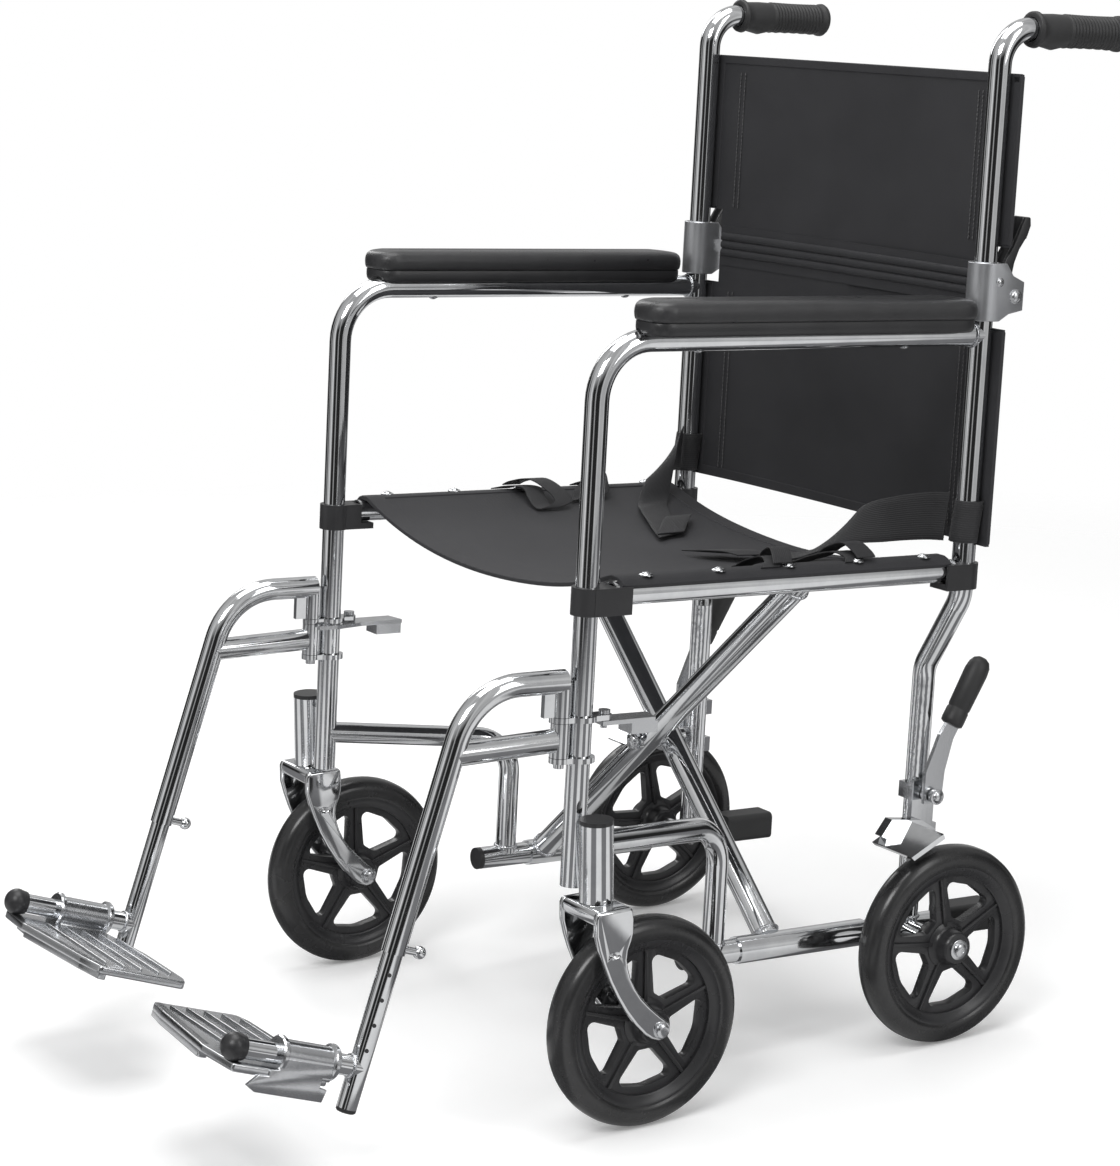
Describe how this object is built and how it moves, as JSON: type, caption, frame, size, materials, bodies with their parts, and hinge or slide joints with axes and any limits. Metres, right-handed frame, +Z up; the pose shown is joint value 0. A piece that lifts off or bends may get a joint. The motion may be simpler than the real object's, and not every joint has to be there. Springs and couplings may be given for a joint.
{
  "type": "transport wheelchair",
  "caption": "Folding transport wheelchair with a chromed tube frame, sling seat and back, padded arm rests, swing-away leg rests and attendant push handles.",
  "frame": {"origin": "Centre of the bounding box in X and Y, on the floor under the wheels.", "axes": "+Z up; the chair faces -Y; +X is the sitter's left; X=0 is the mirror plane of the frame."},
  "size_m": [0.629, 1.0032, 1.0165],
  "materials": {
    "chrome": "polished chrome plate",
    "fastener": "plated steel",
    "silver_bracket": "satin silver",
    "cast_aluminium": "polished casting",
    "black_nylon": "coarse woven nylon",
    "webbing": "ribbed webbing",
    "black_vinyl": "grained vinyl",
    "black_plastic": "moulded",
    "wheel_black": "moulded, slight sheen",
    "tyre_black": "smooth solid tyre",
    "grip_rubber": "moulded rubber"
  },
  "bodies": {
    "left_side": {"left_side_frame": "chrome", "left_frame_caps": "black_plastic", "left_tip_pad": "grip_rubber", "left_seat_guides": "black_plastic", "left_arm_base": "black_plastic", "left_arm_pad": "black_vinyl", "left_brake_bracket": "fastener", "left_hinge_bracket": "silver_bracket", "left_rear_axle": "fastener", "back_lower": "black_nylon"},
    "left_caster": {"left_caster_fork": "chrome", "left_caster_axle": "fastener"},
    "left_caster_wheel": {"left_caster_rim": "wheel_black", "left_caster_tyre": "tyre_black"},
    "left_rear_wheel": {"left_rear_rim": "wheel_black", "left_rear_tyre": "tyre_black"},
    "left_brake": {"left_brake_lever": "fastener", "left_brake_grip": "grip_rubber"},
    "left_shoe": {"left_brake_shoe": "fastener"},
    "left_hanger": {"left_hanger": "chrome"},
    "left_latch": {"left_hanger_latch": "black_plastic"},
    "left_leg": {"left_leg_tube": "chrome", "left_foot_cap": "black_plastic"},
    "left_foot": {"left_footplate": "cast_aluminium"},
    "left_back": {"left_back_cane": "chrome", "left_hand_grip": "grip_rubber", "back_upper": "black_nylon"},
    "left_release": {"left_release_lever": "black_plastic"},
    "right_side": {"right_side_frame": "chrome", "right_frame_caps": "black_plastic", "right_tip_pad": "grip_rubber", "right_seat_guides": "black_plastic", "right_arm_base": "black_plastic", "right_arm_pad": "black_vinyl", "right_brake_bracket": "fastener", "right_hinge_bracket": "silver_bracket", "right_rear_axle": "fastener"},
    "right_caster": {"right_caster_fork": "chrome", "right_caster_axle": "fastener"},
    "right_caster_wheel": {"right_caster_rim": "wheel_black", "right_caster_tyre": "tyre_black"},
    "right_rear_wheel": {"right_rear_rim": "wheel_black", "right_rear_tyre": "tyre_black"},
    "right_brake": {"right_brake_lever": "fastener", "right_brake_grip": "grip_rubber"},
    "right_shoe": {"right_brake_shoe": "fastener"},
    "right_hanger": {"right_hanger": "chrome"},
    "right_latch": {"right_hanger_latch": "black_plastic"},
    "right_leg": {"right_leg_tube": "chrome", "right_foot_cap": "black_plastic"},
    "right_foot": {"right_footplate": "cast_aluminium"},
    "right_back": {"right_back_cane": "chrome", "right_hand_grip": "grip_rubber"},
    "right_release": {"right_release_lever": "black_plastic"},
    "brace_b": {"brace_b": "chrome", "brace_bolt": "fastener", "right_seat_belt": "webbing"},
    "brace_a": {"brace_a": "chrome", "seat_sling": "black_nylon", "left_seat_belt": "webbing"}
  },
  "joints": [
    {"name": "frame_fold", "type": "hinge", "parent": "left_side", "child": "brace_b", "pos_m": [0.1925, 0.14361, 0.1105], "axis": [0, 0.9982, -0.0593], "range_deg": [0, 30], "deforming": ["seat_sling", "back_lower", "back_upper", "left_seat_belt", "right_seat_belt"]},
    {"name": "brace_cross", "type": "hinge", "parent": "brace_b", "child": "brace_a", "pos_m": [0, 0.12361, 0.2797], "axis": [0, 0.9982, -0.0593], "range_deg": [-60, 0]},
    {"name": "right_side_fold", "type": "hinge", "parent": "brace_a", "child": "right_side", "pos_m": [-0.1925, 0.14361, 0.1105], "axis": [0, 0.9982, -0.0593], "range_deg": [0, 30]},
    {"name": "left_caster_swivel", "type": "hinge", "parent": "left_side", "child": "left_caster", "pos_m": [0.277, -0.13465, 0.24], "axis": [0, 0, 1], "continuous": true},
    {"name": "left_caster_spin", "type": "hinge", "parent": "left_caster", "child": "left_caster_wheel", "pos_m": [0.277, -0.08365, 0.1016], "axis": [1, 0, 0], "continuous": true},
    {"name": "left_rear_spin", "type": "hinge", "parent": "left_side", "child": "left_rear_wheel", "pos_m": [0.2565, 0.29335, 0.1016], "axis": [1, 0, 0], "continuous": true},
    {"name": "left_brake", "type": "hinge", "parent": "left_side", "child": "left_brake", "pos_m": [0.214, 0.30649, 0.24347], "axis": [-1, 0, 0], "range_deg": [0, 30]},
    {"name": "left_brake_shoe", "type": "hinge", "parent": "left_side", "child": "left_shoe", "pos_m": [0.214, 0.30242, 0.20024], "axis": [1, 0, 0], "range_deg": [0, 9]},
    {"name": "left_hanger_swing", "type": "hinge", "parent": "left_side", "child": "left_hanger", "pos_m": [0.2395, -0.14892, 0.39675], "axis": [0, 0.0593, 0.9982], "range_deg": [0, 55]},
    {"name": "left_latch", "type": "hinge", "parent": "left_side", "child": "left_latch", "pos_m": [0.2425, -0.10408, 0.38607], "axis": [0, -0.0593, -0.9982], "range_deg": [0, 20], "stiffness_Nm_per_rad": 0.3},
    {"name": "left_leg_slide", "type": "slide", "parent": "left_hanger", "child": "left_leg", "axis": [0, 0.342, 0.9397], "range_m": [-0.03, 0.07]},
    {"name": "left_footplate_flip", "type": "hinge", "parent": "left_leg", "child": "left_foot", "pos_m": [0.2395, -0.36334, 0.10094], "axis": [0, 0.9397, -0.342], "range_deg": [0, 85]},
    {"name": "left_back_fold", "type": "hinge", "parent": "left_side", "child": "left_back", "pos_m": [0.2395, 0.36263, 0.74502], "axis": [-1, 0, 0], "range_deg": [0, 140]},
    {"name": "left_release", "type": "hinge", "parent": "left_back", "child": "left_release", "pos_m": [0.2395, 0.35707, 0.7694], "axis": [1, 0, 0], "range_deg": [0, 12], "stiffness_Nm_per_rad": 0.3},
    {"name": "right_caster_swivel", "type": "hinge", "parent": "right_side", "child": "right_caster", "pos_m": [-0.277, -0.13465, 0.24], "axis": [0, 0, 1], "continuous": true},
    {"name": "right_caster_spin", "type": "hinge", "parent": "right_caster", "child": "right_caster_wheel", "pos_m": [-0.277, -0.08365, 0.1016], "axis": [1, 0, 0], "continuous": true},
    {"name": "right_rear_spin", "type": "hinge", "parent": "right_side", "child": "right_rear_wheel", "pos_m": [-0.2565, 0.29335, 0.1016], "axis": [1, 0, 0], "continuous": true},
    {"name": "right_brake", "type": "hinge", "parent": "right_side", "child": "right_brake", "pos_m": [-0.214, 0.30649, 0.24347], "axis": [-1, 0, 0], "range_deg": [0, 30]},
    {"name": "right_brake_shoe", "type": "hinge", "parent": "right_side", "child": "right_shoe", "pos_m": [-0.214, 0.30242, 0.20024], "axis": [1, 0, 0], "range_deg": [0, 9]},
    {"name": "right_hanger_swing", "type": "hinge", "parent": "right_side", "child": "right_hanger", "pos_m": [-0.2395, -0.14892, 0.39675], "axis": [0, -0.0593, -0.9982], "range_deg": [0, 55]},
    {"name": "right_latch", "type": "hinge", "parent": "right_side", "child": "right_latch", "pos_m": [-0.2425, -0.10408, 0.38607], "axis": [0, 0.0593, 0.9982], "range_deg": [0, 20], "stiffness_Nm_per_rad": 0.3},
    {"name": "right_leg_slide", "type": "slide", "parent": "right_hanger", "child": "right_leg", "axis": [0, 0.342, 0.9397], "range_m": [-0.03, 0.07]},
    {"name": "right_footplate_flip", "type": "hinge", "parent": "right_leg", "child": "right_foot", "pos_m": [-0.2395, -0.36334, 0.10094], "axis": [0, -0.9397, 0.342], "range_deg": [0, 85]},
    {"name": "right_back_fold", "type": "hinge", "parent": "right_side", "child": "right_back", "pos_m": [-0.2395, 0.36263, 0.74502], "axis": [-1, 0, 0], "range_deg": [0, 140]},
    {"name": "right_release", "type": "hinge", "parent": "right_back", "child": "right_release", "pos_m": [-0.2395, 0.35707, 0.7694], "axis": [1, 0, 0], "range_deg": [0, 12], "stiffness_Nm_per_rad": 0.3}
  ],
  "couplings": [
    {"joint": "brace_cross", "follows": "frame_fold", "ratio": -2},
    {"joint": "right_side_fold", "follows": "frame_fold", "ratio": 1},
    {"joint": "left_brake_shoe", "follows": "left_brake", "ratio": 0.3},
    {"joint": "left_footplate_flip", "follows": "frame_fold", "ratio": 2.8},
    {"joint": "right_brake_shoe", "follows": "right_brake", "ratio": 0.3},
    {"joint": "right_footplate_flip", "follows": "frame_fold", "ratio": 2.8},
    {"joint": "right_back_fold", "follows": "left_back_fold", "ratio": 1}
  ]
}
